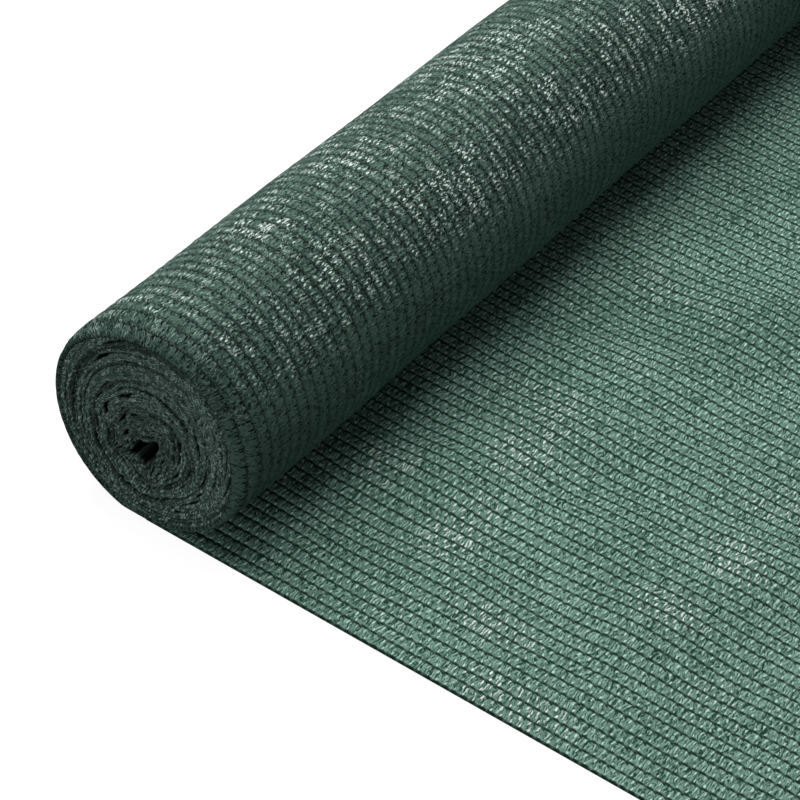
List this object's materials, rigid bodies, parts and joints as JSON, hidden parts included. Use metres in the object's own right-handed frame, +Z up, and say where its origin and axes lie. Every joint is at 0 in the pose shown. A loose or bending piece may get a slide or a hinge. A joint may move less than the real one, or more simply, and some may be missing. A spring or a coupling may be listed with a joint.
{
  "type": "rolled privacy screen netting",
  "caption": "Knitted privacy screen netting wound into a roll without a core, its loose end laid out flat beside it.",
  "frame": {"origin": "middle of the underside of the whole piece", "axes": "+Y along the roll's axis, the net's width; +X from the roll towards the cut end of the loose end; +Z up"},
  "size_m": [0.3596, 1, 0.0801],
  "materials": {
    "knitted_net": "dark green polyethylene knit: rows of pale flat-tape stitches between thin dark chain lines, with a low plastic sheen"
  },
  "bodies": {
    "root": {"netting": "knitted_net"}
  },
  "joints": []
}
